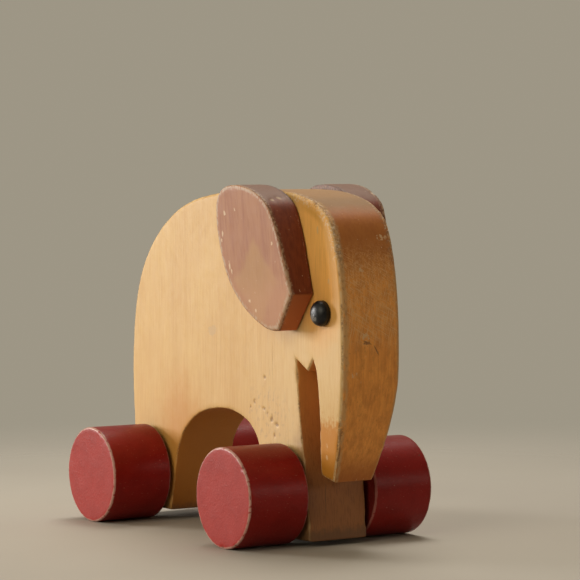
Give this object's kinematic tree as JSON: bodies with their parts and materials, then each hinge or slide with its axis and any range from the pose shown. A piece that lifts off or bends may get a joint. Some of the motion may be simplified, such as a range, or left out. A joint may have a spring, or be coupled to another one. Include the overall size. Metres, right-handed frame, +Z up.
{
  "type": "pull along toy",
  "caption": "Wooden elephant cut from one thick board, with glued-on ears and button eyes, rolling on drum wheels on turning axles.",
  "frame": {"origin": "on the ground, halfway along the toy and on its middle plane", "axes": "+X toward the elephant's head, +Y toward its left side, +Z up"},
  "size_m": [0.1854, 0.0976, 0.16],
  "materials": {
    "varnished_beech": "honey-coloured beech under old satin varnish, worn and darkened along the edges",
    "stained_ear_wood": "red-brown stain, paler where it is worn on the outer face and edges",
    "red_painted_wood": "satin red paint, chipped along the rims",
    "bare_dowel": "bare birch dowel",
    "black_lacquer": "satin black lacquer on turned wood",
    "fibre": "dull vulcanised fibre"
  },
  "bodies": {
    "body": {"body": "varnished_beech", "right_ear": "stained_ear_wood", "left_ear": "stained_ear_wood", "right_ear_dowel_upper": "bare_dowel", "right_ear_dowel_lower": "bare_dowel", "left_ear_dowel_upper": "bare_dowel", "left_ear_dowel_lower": "bare_dowel", "right_eye": "black_lacquer", "left_eye": "black_lacquer", "front_right_washer": "fibre", "front_left_washer": "fibre", "rear_right_washer": "fibre", "rear_left_washer": "fibre"},
    "front_wheelset": {"front_axle": "bare_dowel", "front_right_wheel": "red_painted_wood", "front_left_wheel": "red_painted_wood"},
    "rear_wheelset": {"rear_axle": "bare_dowel", "rear_right_wheel": "red_painted_wood", "rear_left_wheel": "red_painted_wood"}
  },
  "joints": [
    {"name": "front_axle_spin", "type": "hinge", "parent": "body", "child": "front_wheelset", "pos_m": [0.0478, 0, 0.0225], "axis": [0, 1, 0], "continuous": true},
    {"name": "rear_axle_spin", "type": "hinge", "parent": "body", "child": "rear_wheelset", "pos_m": [-0.0702, 0, 0.0225], "axis": [0, 1, 0], "continuous": true}
  ]
}
